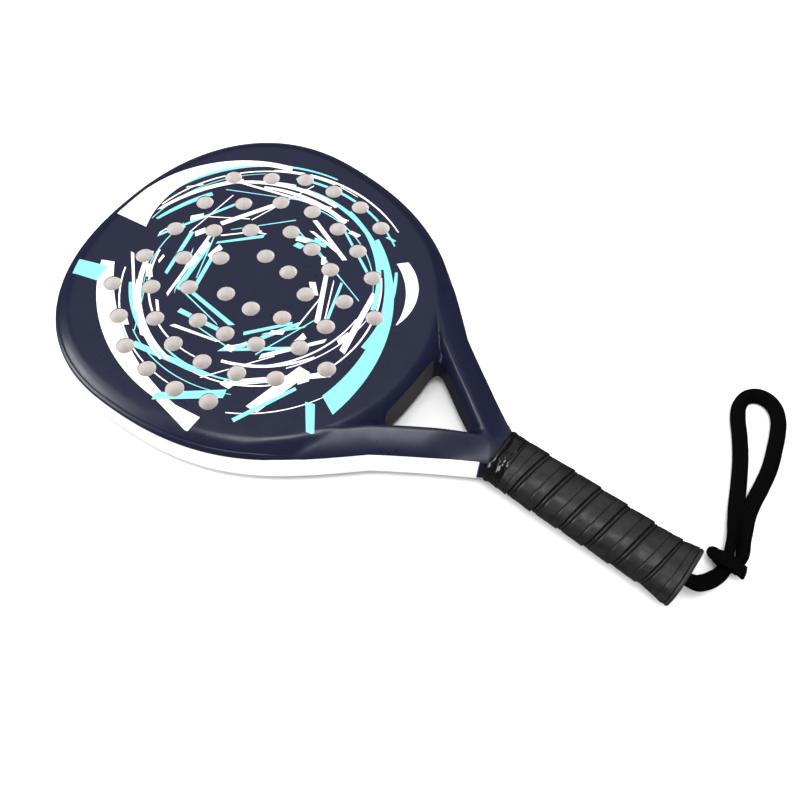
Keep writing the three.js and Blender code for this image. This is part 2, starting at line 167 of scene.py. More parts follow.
def travelled(path):
    """How far along a chain each of its points is."""
    return np.concatenate([[0], np.cumsum(np.linalg.norm(np.diff(path, axis=0), axis=1))])


def directions(path):
    """The unit direction of a chain at each of its points."""
    along = np.gradient(path, axis=0)
    return along / np.linalg.norm(along, axis=1)[:, None]


def turned_in(along):
    """Directions turned a quarter round, from along the outline to into it."""
    return np.column_stack([along[:, 1], -along[:, 0]])


def arc_across(end, radius, turn):
    """Points of an arc that crosses the racket's axis at end."""
    return np.column_stack([end - radius + radius * np.cos(turn), radius * np.sin(turn)])


def resampled(path, spacing):
    """The same chain of points, evenly spaced."""
    lengths = travelled(path)
    places = np.linspace(0, lengths[-1], max(2, int(round(lengths[-1] / spacing)) + 1))
    return np.column_stack([np.interp(places, lengths, path[:, axis]) for axis in range(path.shape[1])])


def splined(points, spacing):
    """A centripetal Catmull-Rom curve through the points, evenly spaced."""
    points = np.asarray(points, float)
    ends = np.vstack([2 * points[0] - points[1], points, 2 * points[-1] - points[-2]])
    chain = []
    for p0, p1, p2, p3 in zip(ends, ends[1:], ends[2:], ends[3:]):
        pairs = ((p0, p1), (p1, p2), (p2, p3))
        knots = np.cumsum([0] + [np.linalg.norm(b - a) ** 0.5 for a, b in pairs])
        t = np.linspace(knots[1], knots[2], 24)[:-1, None]

        def between(a, b, low, high):
            return (high - t) / (high - low) * a + (t - low) / (high - low) * b

        a1, a2, a3 = (between(a, b, knots[i], knots[i + 1]) for i, (a, b) in enumerate(pairs))
        b1, b2 = between(a1, a2, knots[0], knots[2]), between(a2, a3, knots[1], knots[3])
        chain.append(between(b1, b2, knots[1], knots[2]))
    return resampled(np.vstack(chain + [points[-1:]]), spacing)


def distance_to(points, path):
    """The distance from each point to a chain of segments."""
    starts, along = path[:-1], np.diff(path, axis=0)
    square = (along ** 2).sum(1)
    found = []
    at_once = 1500
    for block in np.array_split(points, max(1, len(points) // at_once)):
        offset = block[:, None] - starts
        share = np.clip((offset * along).sum(2) / square, 0, 1)
        found.append(np.sqrt(((offset - share[..., None] * along) ** 2).sum(2).min(1)))
    return np.concatenate(found)


def inside(points, polygon):
    x, y = points.T
    hit = np.zeros(len(points), bool)
    for (ax, ay), (bx, by) in zip(polygon, np.roll(polygon, -1, axis=0)):
        if ay != by:
            crosses = (ay > y) != (by > y)
            hit ^= crosses & (x < (bx - ax) * (y - ay) / (by - ay) + ax)
    return hit


# ---- camera, floor and light ----
def link(thing):
    bpy.context.scene.collection.objects.link(thing)
    return thing


def make_camera():
    """Sees the racket from above its near side, with the handle at the lower right."""
    eye = Vector(row((417.1, -251.4, 538.3)))
    target = Vector(row((249.3, -5.7, 19)))
    roll = math.radians(2.86)
    data = bpy.data.cameras.new("camera")
    data.sensor_width = 36
    data.lens = 41.6
    data.clip_start = 0.01
    camera = bpy.data.objects.new("camera", data)
    camera.rotation_mode = "QUATERNION"
    camera.rotation_quaternion = (target - eye).to_track_quat("-Z", "Y") @ Quaternion((0, 0, 1), roll)
    camera.location = eye
    link(camera)
    bpy.context.scene.camera = camera


def sun(name, toward, strength, spread_degrees, glints=True):
    """A broad soft light from the given direction. Without glints it isn't mirrored in glossy surfaces."""
    data = bpy.data.lights.new(name, "SUN")
    data.energy = strength
    data.angle = math.radians(spread_degrees)
    light = bpy.data.objects.new(name, data)
    light.rotation_euler = Vector(toward).to_track_quat("Z", "Y").to_euler()
    light.visible_glossy = glints
    link(light)


def light_scene():
    scene = bpy.context.scene
    scene.view_settings.view_transform = "Standard"
    world = bpy.data.worlds.new("studio")
    world.use_nodes = True
    background = world.node_tree.nodes["Background"]
    background.inputs["Color"].default_value = (1, 1, 1, 1)
    background.inputs["Strength"].default_value = 0.07
    scene.world = world
    sun("overhead", (0.1, 0.1, 1), 3.15, 110, glints=False)
    sun("sheen", (-0.28, 0.41, 0.868), 0.42, 70)
    sun("front", (0, -0.13, 0.99), 1.4, 26)
    sun("left", (-0.66, -0.5, 0.56), 0.85, 36)
    sun("low left", (-0.7, -0.7, 0.16), 2.4, 40)
    sun("right", (0.85, -0.25, 0.5), 0.5, 60, glints=False)


def make_floor():
    reach = 6
    mesh = bpy.data.meshes.new("floor")
    mesh.from_pydata([(-reach, -reach, 0), (reach, -reach, 0), (reach, reach, 0), (-reach, reach, 0)],
                     [], [(0, 1, 2, 3)])
    floor = link(bpy.data.objects.new("floor", mesh))
    material = bpy.data.materials.new("floor_white")
    material.use_nodes = True
    shader = material.node_tree.nodes["Principled BSDF"]
    shader.inputs["Base Color"].default_value = (0.93, 0.93, 0.93, 1)
    shader.inputs["Roughness"].default_value = 0.7
    shader.inputs["Specular IOR Level"].default_value = 0.2
    mesh.materials.append(material)
    floor.visible_glossy = False


make_camera()
light_scene()
make_floor()


# ---- materials ----
class Nodes:
    """A material's node tree, with short calls for the nodes that are used here."""

    def __init__(self, name, colour, roughness, **shader_inputs):
        self.material = bpy.data.materials.new(name)
        self.material.use_nodes = True
        self.tree = self.material.node_tree
        self.shader = self.tree.nodes["Principled BSDF"]
        self.shader.inputs["Base Color"].default_value = (*colour, 1)
        self.shader.inputs["Roughness"].default_value = roughness
        for socket, value in shader_inputs.items():
            self.shader.inputs[socket.replace("_", " ")].default_value = value

    def add(self, kind, **inputs):
        node = self.tree.nodes.new("ShaderNode" + kind)
        for socket, value in inputs.items():
            self.feed(node.inputs[socket.replace("_", " ")], value)
        return node

    def feed(self, socket, value):
        if isinstance(value, bpy.types.NodeSocket):
            self.tree.links.new(value, socket)
        else:
            socket.default_value = value

    def place(self):
        """The point in millimetres in the row frame."""
        scale = self.add("VectorMath")
        scale.operation = "SCALE"
        scale.inputs["Scale"].default_value = 1000.0
        self.feed(scale.inputs[0], self.add("TexCoord").outputs["Object"])
        return scale.outputs[0]

    def strand_place(self):
        """The point along and round a strip, in millimetres, from its UV map."""
        return self.add("UVMap").outputs["UV"]

    def noise(self, vector, per_mm, detail=3.0, roughness=0.5, distortion=0.0):
        node = self.add("TexNoise", Vector=vector, Scale=per_mm, Detail=detail,
                        Roughness=roughness, Distortion=distortion)
        return node.outputs["Fac"]

    def math(self, operation, first, second=0.0):
        node = self.add("Math")
        node.operation = operation
        self.feed(node.inputs[0], first)
        self.feed(node.inputs[1], second)
        return node.outputs[0]

    def ramp(self, value, low, high, to_low=0.0, to_high=1.0):
        node = self.add("MapRange", Value=value)
        settings = {"From Min": low, "From Max": high, "To Min": to_low, "To Max": to_high}
        for socket, setting in settings.items():
            node.inputs[socket].default_value = setting
        return node.outputs[0]

    def mix(self, share, first, second):
        node = self.add("Mix")
        node.data_type = "RGBA"
        self.feed(node.inputs[0], share)
        self.feed(node.inputs[6], first if isinstance(first, bpy.types.NodeSocket) else (*first, 1))
        self.feed(node.inputs[7], second if isinstance(second, bpy.types.NodeSocket) else (*second, 1))
        return node.outputs[2]

    def colour(self, value):
        self.feed(self.shader.inputs["Base Color"], value)

    def rough(self, value):
        self.feed(self.shader.inputs["Roughness"], value)

    def bump(self, height, depth_mm):
        node = self.add("Bump", Height=height, Distance=depth_mm / 1000)
        previous = self.shader.inputs["Normal"]
        if previous.is_linked:
            self.feed(node.inputs["Normal"], previous.links[0].from_socket)
        self.feed(previous, node.outputs["Normal"])


def scaled(colour, by):
    return tuple(channel * by for channel in colour)


def lacquer(name, colour, roughness=0.31):
    """Satin lacquer over laminate: faint orange peel, cloudy gloss and a very fine grain in its colour."""
    n = Nodes(name, colour, roughness, Specular_IOR_Level=0.35, Coat_Weight=0.08, Coat_Roughness=0.2)
    place = n.place()
    clouds = n.noise(place, 0.035, detail=4)
    tinted = n.mix(n.ramp(clouds, 0.3, 0.7), scaled(colour, 0.93), scaled(colour, 1.06))
    n.colour(n.mix(n.ramp(n.noise(place, 2.5), 0.3, 0.7, 0.0, 0.12), tinted, scaled(colour, 1.6)))
    n.rough(n.ramp(n.noise(place, 0.12, detail=5), 0.3, 0.7, roughness - 0.04, roughness + 0.05))
    n.bump(n.noise(place, 0.5, detail=1), 0.008)
    return n.material


NAVY = (0.0062, 0.0076, 0.0235)
WHITE = (0.9, 0.9, 0.9)
CYAN = (0.19, 0.58, 0.6)

navy = lacquer("navy_lacquer", NAVY)
# Grey lacquer for the throat's bridge wall: a painted reflection of the white floor, which glossy rays don't
# see.
throat_reflection_grey = lacquer("throat_painted_reflection", (0.065, 0.057, 0.061), 0.5)
print_white = lacquer("white_print", WHITE, 0.4)
print_cyan = lacquer("cyan_print", CYAN, 0.4)


def band_film():
    """White film with a very faint ripple from being stretched round the edge."""
    n = Nodes("white_band_film", WHITE, 0.32, Coat_Weight=0.3, Coat_Roughness=0.15)
    place = n.place()
    n.colour(n.mix(n.ramp(n.noise(place, 0.05), 0.3, 0.7), scaled(WHITE, 0.97), WHITE))
    n.rough(n.ramp(n.noise(place, 0.3, detail=5), 0.3, 0.7, 0.27, 0.4))
    n.bump(n.noise(place, 0.15, detail=2), 0.05)
    n.bump(n.noise(place, 5.0), 0.003)
    return n.material


def foam(name, colour, cell=2.2, depth=0.06):
    """Cut closed-cell foam: a fine pitted grain with cloudy colour, and painted shade darkening the pits."""
    n = Nodes(name, colour, 0.85, Specular_IOR_Level=0.25)
    place = n.place()
    cells = n.add("TexVoronoi", Vector=place, Scale=cell).outputs["Distance"]
    grain = n.noise(place, 1.4, detail=5)
    shade = n.mix(n.ramp(grain, 0.3, 0.7), scaled(colour, 0.9), scaled(colour, 1.05))
    # The pits' centres are darkened: painted shade.
    n.colour(n.mix(n.ramp(cells, 0.0, 0.4, 0.15, 0.0), shade, scaled(colour, 0.75)))
    n.bump(cells, depth)
    n.bump(grain, depth)
    return n.material


def leather():
    """Soft synthetic leather: fine grain, long soft mottling in its gloss, greyer worn high spots, and
    painted shade in its pressed grooves.
    """
    dark = (0.006, 0.006, 0.006)
    n = Nodes("grip_leather", dark, 0.42, Specular_IOR_Level=0.36)
    place = n.place()
    mottle = n.noise(place, 0.11, detail=5, roughness=0.6, distortion=0.6)
    grain = n.add("TexVoronoi", Vector=place, Scale=1.9)
    grain.feature = "SMOOTH_F1"
    pores = grain.outputs["Distance"]
    across = n.add("SeparateXYZ", Vector=n.strand_place()).outputs[1]
    lines = 0.0
    for place_across, half_width in TAPE_LINES:
        off = n.math("ABSOLUTE", n.math("SUBTRACT", across, place_across))
        lines = n.math("MAXIMUM", n.ramp(off, half_width * 0.8, half_width * 1.5, 1.0, 0.0), lines)
    soft = n.mix(n.ramp(mottle, 0.35, 0.7), dark, (0.016, 0.016, 0.0163))
    # The pressed grooves are coloured near black: painted shade.
    n.colour(n.mix(lines, soft, (0.001, 0.001, 0.001)))
    n.rough(n.math("MAXIMUM", n.ramp(mottle, 0.3, 0.7, 0.52, 0.34), lines))
    n.bump(mottle, 0.4)
    n.bump(pores, 0.03)
    n.bump(n.noise(place, 4.5, detail=4), 0.02)
    return n.material


def crumpled_tape():
    """Glossy black stretch tape, with small sharp creases."""
    n = Nodes("collar_tape", (0.003, 0.003, 0.003), 0.16, Coat_Weight=0.2, Coat_Roughness=0.08)
    place = n.place()
    creases = n.noise(place, 0.1, detail=0, distortion=0.5)
    n.rough(n.ramp(creases, 0.3, 0.7, 0.14, 0.24))
    n.bump(creases, 1.2)
    n.bump(n.noise(place, 3.0), 0.01)
    return n.material


def moulded_cap():
    """Matt moulded rubber with a fine spark-eroded texture."""
    n = Nodes("butt_rubber", (0.012, 0.012, 0.012), 0.55)
    place = n.place()
    n.colour(n.mix(n.ramp(n.noise(place, 0.2), 0.3, 0.7), (0.01, 0.01, 0.01), (0.02, 0.02, 0.021)))
    n.rough(n.ramp(n.noise(place, 0.6, detail=4), 0.3, 0.7, 0.48, 0.65))
    n.bump(n.noise(place, 5.0, detail=3), 0.05)
    return n.material


def cushion_sleeve():
    """The cushioned under-grip: soft rubber with a fine pimpled skin."""
    n = Nodes("cushion_sleeve", (0.012, 0.012, 0.013), 0.75)
    place = n.place()
    pimples = n.add("TexVoronoi", Vector=place, Scale=0.8).outputs["Distance"]
    n.colour(n.mix(n.ramp(pimples, 0.0, 0.6), (0.02, 0.02, 0.021), (0.008, 0.008, 0.009)))
    n.bump(pimples, 0.2)
    return n.material


def braid():
    """Tubular polyester braid: slanted strands crossing each other on every rib, with a soft fuzz and painted
    shade in the valleys between the ribs.
    """
    black = (0.0013, 0.0013, 0.0015)
    n = Nodes("strap_braid", black, 0.8, Specular_IOR_Level=0.05)
    separate = n.add("SeparateXYZ", Vector=n.strand_place())
    along, around = separate.outputs[0], separate.outputs[1]
    strands = []
    for slant in (1, -1):
        phase = n.math("MULTIPLY", n.math("ADD", along, n.math("MULTIPLY", around, 0.9 * slant)), 5.2)
        strands.append(n.math("SINE", phase))
    plaited = n.math("MULTIPLY", strands[0], strands[1])
    fuzz = n.noise(n.place(), 7.0, detail=3)
    rib = n.ramp(n.math("COSINE", n.math("MULTIPLY", around, 2 * math.pi / RIB_PITCH)), -1.0, 1.0, 0.25, 1.0)
    threads = n.mix(n.ramp(plaited, -0.5, 0.9), scaled(black, 0.5), scaled(black, 3.2))
    # The valleys between the ribs are darkened: painted shade.
    n.colour(n.mix(rib, scaled(black, 0.2), threads))
    n.rough(n.ramp(fuzz, 0.3, 0.7, 0.7, 0.9))
    n.bump(plaited, 0.15)
    n.bump(fuzz, 0.06)
    return n.material


# ---- meshes ----
def link_mesh(name, vertices, faces, materials, indices=None, uvs=None):
    """A new piece from millimetre vertices. indices gives each face's material."""
    mesh = bpy.data.meshes.new(name)
    mesh.from_pydata(row(vertices).tolist(), [], [list(map(int, face)) for face in faces])
    for material in materials:
        mesh.materials.append(material)
    if indices is not None:
        mesh.polygons.foreach_set("material_index", np.asarray(indices, np.int32))
    mesh.polygons.foreach_set("use_smooth", np.full(len(mesh.polygons), True))
    if uvs is not None:
        layer = mesh.uv_layers.new(name="UVMap")
        corners = np.empty(len(mesh.loops), np.int32)
        mesh.loops.foreach_get("vertex_index", corners)
        layer.data.foreach_set("uv", np.asarray(uvs, float)[corners].ravel())
    return link(bpy.data.objects.new(name, mesh))


def stands_for(piece, slot, *nodes):
    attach(piece, "root")
    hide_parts(*nodes)


def ring_faces(rings, corners, closed_ends=True):
    """Quads between rings of corners, and a fan of one polygon at each end."""
    faces = []
    for ring in range(rings - 1):
        for corner in range(corners):
            following = (corner + 1) % corners
            low, high = ring * corners, (ring + 1) * corners
            faces.append((low + corner, low + following, high + following, high + corner))
    if closed_ends:
        faces.append(tuple(range(corners))[::-1])
        faces.append(tuple((rings - 1) * corners + corner for corner in range(corners)))
    return faces


# ---- the head's plan ----
def outline_half():
    power = 2 / NOSE_EXPONENT
    angle = np.linspace(0, math.pi / 2, 90)[:-1]
    nose = np.column_stack([NOSE_LENGTH * (1 - np.cos(angle) ** power), WIDTH / 2 * np.sin(angle) ** power])
    return resampled(np.vstack([nose, bezier(FLANK, 80), bezier(NECK, 40)[1:]]), 1.7)


OUTLINE = np.vstack([(outline_half()[1:] * (1, -1))[::-1], outline_half()])


def inset(distance):
    """The outline moved inwards, without the parts that come nearer to another stretch of it."""
    moved = OUTLINE + distance * turned_in(directions(OUTLINE))
    slack = 0.03
    return moved[distance_to(moved, OUTLINE) > distance - slack]


def throat_outline():
    """The opening between the arms: the bridge's arc, then both arms' inner sides, with soft corners."""
    side = inset(ARM_WIDTH)
    x, radius = BRIDGE_END["x"], BRIDGE_END["radius"]
    bridge_x = x - radius + np.sqrt(radius ** 2 - side[:, 1] ** 2)
    side = side[(side[:, 1] > TAIL_HALF_WIDTH) & (side[:, 0] > bridge_x)]
    side = side[np.argsort(side[:, 0])]
    corner = side[0]
    side = side[np.linalg.norm(side - corner, axis=1) > THROAT_CORNER]
    reach = math.asin(corner[1] / radius) - THROAT_CORNER / radius
    turn = np.linspace(-reach, reach, 40)
    bridge = arc_across(x, radius, turn)
    ease = 0.4
    eased = [corner + ease * (end - corner) for end in (bridge[-1], side[0])]
    bend = bezier([bridge[-1], *eased, side[0]], 16)[1:-1]
    half = np.vstack([bend, side])
    loop = resampled(np.vstack([bridge, half, (half * (1, -1))[::-1], bridge[:1]]), 0.8)[:-1]
    soft = 3
    return sum(np.roll(loop, shift, axis=0) for shift in range(-soft, soft + 1)) / (2 * soft + 1)


def face_outline():
    """The face sheet's edge: a line inside the head's outline, closed across the throat by an arc."""
    x, radius, half_span = FACE_END.values()
    turn = math.asin(half_span / radius)
    line = arc_across(x, radius, np.linspace(-turn, turn, 90))
    run = np.linspace(2, 120, 60)[:, None]
    tangent = np.array([-math.sin(turn), math.cos(turn)])
    line = np.vstack([(line[0] + run * tangent * (1, -1))[::-1], line, line[-1] + run * tangent])
    rim = inset(FACE_INSET)
    far = WIDTH * 2
    tip_side = np.vstack([line, [(-far, line[-1, 1])], [(-far, line[0, 1])]])
    kept = rim[inside(rim, tip_side)]
    return np.vstack([kept, line[inside(line, rim)][::-1]])


THROAT = throat_outline()
FACE = face_outline()


def from_throat(points):
    return distance_to(points, np.vstack([THROAT, THROAT[:1]]))


def past_bridge(points):
    """How far a place lies beyond the bridge's arc."""
    from_centre = points - (BRIDGE_END["x"] - BRIDGE_END["radius"], 0)
    return np.linalg.norm(from_centre, axis=1) - BRIDGE_END["radius"]


def elliptic(distance, run):
    """Rises from 0 to 1 over run, upright at its foot and level at its top."""
    return np.sqrt(1 - (1 - np.clip(distance / run, 0, 1)) ** 2)


def past_face(x, y):
    """How far a place lies beyond the face sheet's edge at the throat."""
    edge, radius, half_span = FACE_END.values()
    from_centre = x - (edge - radius)
    limit = math.asin(half_span / radius)
    turn = np.arctan2(np.abs(y), from_centre)
    tangent = from_centre * math.cos(limit) + np.abs(y) * math.sin(limit)
    return np.where(turn < limit, np.hypot(from_centre, y), tangent) - radius


def height(points):
    """The front surface's height over the plan.

    The head is a flat plate with a soft edge, the arms are ridged like roofs, and where the two meet the
    higher one shows, which leaves a valley between them. Near the neck the two arms' ridges run together.
    """
    x, y = points.T
    tip = len(OUTLINE) // 2
    near_side = distance_to(points, OUTLINE[:tip + 1])
    far_side = distance_to(points, OUTLINE[tip:])
    blend = np.where(x > NECK_JOIN["from"], NECK_JOIN["blend"], SHARP)
    from_edge = smooth_min(near_side, far_side, blend)

    shoulder = SHOULDER_FOOT + (CREASE_TOP - SHOULDER_FOOT) * elliptic(from_edge, SHOULDER_RUN)
    rolled_off = np.clip((PLATEAU - from_edge) / (PLATEAU - CREASE), 0, 1)
    roll = THICKNESS - (THICKNESS - CREASE_TOP) * rolled_off ** 2
    groove = GROOVE["depth"] * np.exp(-((from_edge - CREASE) / GROOVE["half_width"]) ** 2)
    creased = np.where(from_edge < CREASE, shoulder, roll) - groove

    crest = CREST["height"] - CREST["neck_drop"] * smoothstep(CREST["drop_from"], NECK_END, x)
    rounded_rise = crest - CREST["outer_fall"] - SHOULDER_FOOT
    outer_round = SHOULDER_FOOT + rounded_rise * elliptic(from_edge, CREST["from_edge"])
    outer = outer_round + CREST["outer_fall"] * from_edge / CREST["from_edge"]
    slope_width = ARM_WIDTH - CREST["from_edge"]
    past_crest = (np.minimum(from_edge, ARM_WIDTH) - CREST["from_edge"]) / slope_width
    curl = CREST["inner_curl"] * np.maximum(past_crest, 0) ** 2
    inner = crest + CREST["inner_lift"] - CREST["inner_fall"] * past_crest - curl
    arm = smooth_min(outer, inner, CREST["blend"])

    throat_side = THICKNESS + THROAT_SLOPE["lift"] - THROAT_SLOPE["fall"] * past_face(x, y)
    head = smooth_min(creased, throat_side, THROAT_SLOPE["blend"])
    sunk = ARM_RISE["sunk"] * (1 - smoothstep(ARM_RISE["from"], ARM_RISE["to"], x)) ** 2
    surface = smooth_max(head, arm - sunk, ARM_RISE["valley"])

    lip = 1 - np.clip(from_throat(points) / LIP["reach"], 0, 1)
    return surface - LIP["drop"] * (1 - np.sqrt(1 - lip ** 2))


# ---- the printed pattern ----
PRINT_CENTRE = np.array([125.0, 0.0])


def polar(radius, degrees):
    angle = np.radians(degrees)
    return PRINT_CENTRE + np.column_stack([radius * np.cos(angle), radius * np.sin(angle)])


def arc_streak(radii, degrees, widths):
    """A curved streak. radii and widths are at its start, middle and end."""
    t = np.linspace(0, 1, 26)
    blend = np.array([(1 - t) * (1 - 2 * t), 4 * t * (1 - t), t * (2 * t - 1)])
    radius, width = np.array(radii) @ blend, np.maximum(np.array(widths) @ blend, 0.05)
    angle = degrees[0] + t * (degrees[1] - degrees[0])
    return np.vstack([polar(radius + width / 2, angle), polar(radius - width / 2, angle)[::-1]])


def bar_streak(radii, degrees, widths, skew=0.0):
    """A straight bar between two polar places, with slanted ends."""
    start, end = polar(np.array(radii[:1]), degrees[0])[0], polar(np.array(radii[1:]), degrees[1])[0]
    along = (end - start) / np.linalg.norm(end - start)
    across = np.array([-along[1], along[0]])
    first, last = widths[0] / 2, widths[1] / 2
    return np.array([start + across * first + along * skew, end + across * last + along * skew,
                     end - across * last - along * skew, start - across * first - along * skew])


def streaks():
    """Every printed shape, in painting order, as (material index, polygon)."""
    draw = random.Random(5)
    shapes = []
    # Long thin arcs that sweep round the outside, listed one by one.
    for radius, start, sweep, width, colour in (
            (104, -176, -86, 2.2, 2), (98, -186, -88, 1.0, 1), (94, -178, -60, 0.7, 2),
            (100, -236, -62, 1.6, 1), (95, -246, -58, 2.0, 2), (90, -150, 74, 1.0, 1),
            (84, -142, 62, 2.4, 2), (101, -60, 40, 0.7, 1), (79, -84, 66, 0.9, 1),
            (83, 40, -66, 1.2, 1), (74, 100, -70, 0.8, 2), (73, 196, 88, 1.2, 1)):
        drift = draw.uniform(-5, 5)
        shapes.append((colour, arc_streak(
            (radius, radius + drift / 2, radius + drift), (start, start + sweep),
            (width, width, width * 0.5))))
    # The big sweeps at the rim, listed one by one.
    shapes += [
        (1, arc_streak((106, 110, 103), (-173, -243), (27, 9, 4.5))),
        (1, arc_streak((103, 99, 106), (-152, -78), (9, 12, 3))),
        (1, bar_streak((106, 113), (-84, -69), (3, 12))),
        (1, arc_streak((99, 104, 99), (47, 17), (8, 8, 0.5))),
        (2, arc_streak((88, 91, 107), (62, -25), (3, 8, 15))),
        (2, bar_streak((104, 127), (-146, -149), (13, 12), skew=1)),
        (1, bar_streak((77, 98), (-26, -51), (8, 8), skew=-1)),
        (2, bar_streak((101, 121), (-30, -33.5), (6, 5), skew=1)),
        (2, bar_streak((88, 106), (-33, -57), (2.4, 3))),
        (2, bar_streak((88, 106), (-62, -86), (6, 5), skew=1)),
    ]
    # Long straight bars that make a turning hexagon round the swirl.
    for side in range(7):
        middle = side * 360 / 7 + 12
        radius = draw.uniform(74, 86)
        half = draw.uniform(16, 26)
        tilt = draw.uniform(-7, 7)
        width = draw.choice((2.0, 3.2, 4.4))
        shapes.append((2 if side % 2 else 1, bar_streak(
            (radius + tilt, radius - tilt), (middle - half, middle + half), (width, width * 0.8), skew=0.8)))
    # The inner ring: loose bundles of long bars, each bundle along one side of a rounded hexagon.
    for side in range(6):
        middle = side * 60 + 20
        for lane, width in ((42, 2.6), (46, 1.0), (50, 3.6), (54, 0.9), (58, 2.2), (63, 3.0)):
            if draw.random() < 0.22:
                continue
            half = draw.uniform(12, 34)
            shift = draw.uniform(-16, 16)
            tilt = draw.uniform(-3.5, 5.5)
            shapes.append((draw.choice((1, 2)), bar_streak(
                (lane + tilt, lane - tilt), (middle + shift - half, middle + shift + half),
                (width, width * draw.uniform(0.6, 1.2)), skew=draw.uniform(-1.5, 1.5))))
    # Curved streaks that spiral outwards between the two rings.
    for turn in range(16):
        start = turn * 67.5 + draw.uniform(-12, 12)
        sweep = draw.uniform(28, 70)
        radius = draw.uniform(64, 92)
        growth = draw.uniform(0, 9)
        width = draw.choice((0.7, 1.2, 2.0, 3.2))
        shapes.append((draw.choice((1, 2)), arc_streak(
            (radius, radius + growth * 0.3, radius + growth), (start, start + sweep),
            (width, width, width * 0.6))))
    # Thin chords that cross the ring, and short dashes in the gaps.
    for _ in range(9):
        start = draw.uniform(0, 360)
        radius = draw.uniform(52, 96)
        shapes.append((draw.choice((1, 2)), bar_streak(
            (radius, draw.uniform(46, 90)), (start, start + draw.uniform(25, 52)), (0.7, 0.7))))
    for _ in range(30):
        radius = draw.uniform(40, 100)
        start = draw.uniform(0, 360)
        sweep = draw.uniform(5, 12) * 60 / radius
        width = draw.choice((1.0, 1.8, 3.0, 4.2))
        shapes.append((draw.choice((1, 1, 2)), bar_streak(
            (radius, radius + draw.uniform(-4, 4)), (start, start + sweep), (width, width), skew=0.6)))
    return shapes


# ---- one triangulation for the whole front surface ----
def hole_centres():
    return np.array([(x, side * y) for x, across in HOLE_ROWS for y in across
                     for side in ((1,) if y == 0 else (1, -1))], float)


def circle(centre, radius, sides):
    angle = np.arange(sides) / sides * 2 * math.pi
    return centre + radius * np.column_stack([np.cos(angle), np.sin(angle)])


def outside_holes(places, radius):
    clear = np.ones(len(places), bool)
    for centre in hole_centres():
        clear &= np.linalg.norm(places - centre, axis=1) > radius
    return clear


class Plan:
    """Points and lines to triangulate."""

    def __init__(self):
        self.points, self.edges = [], []

    def loop(self, chain):
        first = len(self.points)
        self.points.extend(chain.tolist())
        count = len(chain)
        self.edges.extend((first + i, first + (i + 1) % count) for i in range(count))

    def scatter(self, points):
        self.points.extend(points.tolist())

    def triangles(self):
        found = delaunay_2d_cdt([Vector(p) for p in self.points], self.edges, [], 0, 1e-4)
        points = np.array([tuple(p) for p in found[0]])
        corners = np.array([face for face in found[2]])
        a, b, c = points[corners[:, 0]], points[corners[:, 1]], points[corners[:, 2]]
        turn = np.cross(b - a, c - a)
        corners = corners[np.abs(turn) > 1e-7]
        turn = turn[np.abs(turn) > 1e-7]
        corners[turn < 0] = corners[turn < 0][:, ::-1]
        return points, corners


# How far inside the outline, and how far round the throat, the rings of mesh points lie.
HEAD_RINGS = (
    0.1, 0.3, 0.6, 1.0, 1.5, 2.0, 2.4, 2.7, 3.0, 3.3, 3.6, 4.0, 4.6, 5.4, 6.3, 7.1, 7.9, 8.8, 9.9, 11.1, 12.4,
)
ARM_RINGS = (11, 12.6, 14, 14.9, 15.5, 16, 16.5, 17, 17.6, 18.2, 18.8, 19.4, 19.9, 20.3)
THROAT_RINGS = (0.15, 0.5, 1.0, 1.5, 2.3, 3.6, 5.2, 7.0, 9.0, 11.0)
# How far a loose mesh point keeps from the face sheet's edge.
FACE_GAP = 0.25


def head_triangles():
    plan = Plan()
    plan.loop(OUTLINE)
    plan.loop(THROAT)
    plan.loop(FACE)
    for centre in hole_centres():
        plan.loop(circle(centre, HOLE_RADIUS, HOLE_SIDES))
    for _, shape in streaks():
        plan.loop(shape)
    for distance in HEAD_RINGS + ARM_RINGS:
        ring = inset(distance)
        clear = (distance_to(ring, THROAT) > 0.5) & (distance_to(ring, FACE) > FACE_GAP)
        clear &= ~inside(ring, THROAT)
        clear &= (ring[:, 0] > ARM_RISE["from"]) | (distance in HEAD_RINGS)
        plan.scatter(ring[clear])
    for distance in THROAT_RINGS:
        along = np.roll(THROAT, -1, axis=0) - np.roll(THROAT, 1, axis=0)
        along /= np.linalg.norm(along, axis=1)[:, None]
        ring = THROAT + distance * turned_in(along)
        kept = (from_throat(ring) > distance - 0.05) & (distance_to(ring, OUTLINE) > ARM_WIDTH - 0.4)
        kept &= distance_to(ring, FACE) > FACE_GAP
        plan.scatter(ring[kept & inside(ring, OUTLINE)])
    step = 1.5
    grid = np.array([(x, y) for x in np.arange(205, NECK_END - 1, step) for y in np.arange(-96, 96, step)])
    grid = grid[inside(grid, OUTLINE) & ~inside(grid, THROAT)]
    grid = grid[(distance_to(grid, OUTLINE) > ARM_WIDTH) & (distance_to(grid, THROAT) > 2.6)]
    grid = grid[distance_to(grid, FACE) > 0.5]
    plan.scatter(grid)
    points, corners = plan.triangles()
    middles = points[corners].mean(axis=1)
    kept = inside(middles, OUTLINE) & ~inside(middles, THROAT) & outside_holes(middles, HOLE_RADIUS * 0.99)
    return points, corners[kept]


def boundary_edges(corners):
    """Directed edges that only one triangle has."""
    edges = set()
    for a, b, c in corners.tolist():
        for edge in ((a, b), (b, c), (c, a)):
            if edge[::-1] in edges:
                edges.remove(edge[::-1])
            else:
                edges.add(edge)
    return sorted(edges)


def vertex_normals(points, corners):
    a, b, c = (points[corners[:, k]] for k in range(3))
    facing = np.cross(b - a, c - a)
    normals = np.zeros_like(points)
    for k in range(3):
        np.add.at(normals, corners[:, k], facing)
    return normals / np.maximum(np.linalg.norm(normals, axis=1), 1e-12)[:, None]


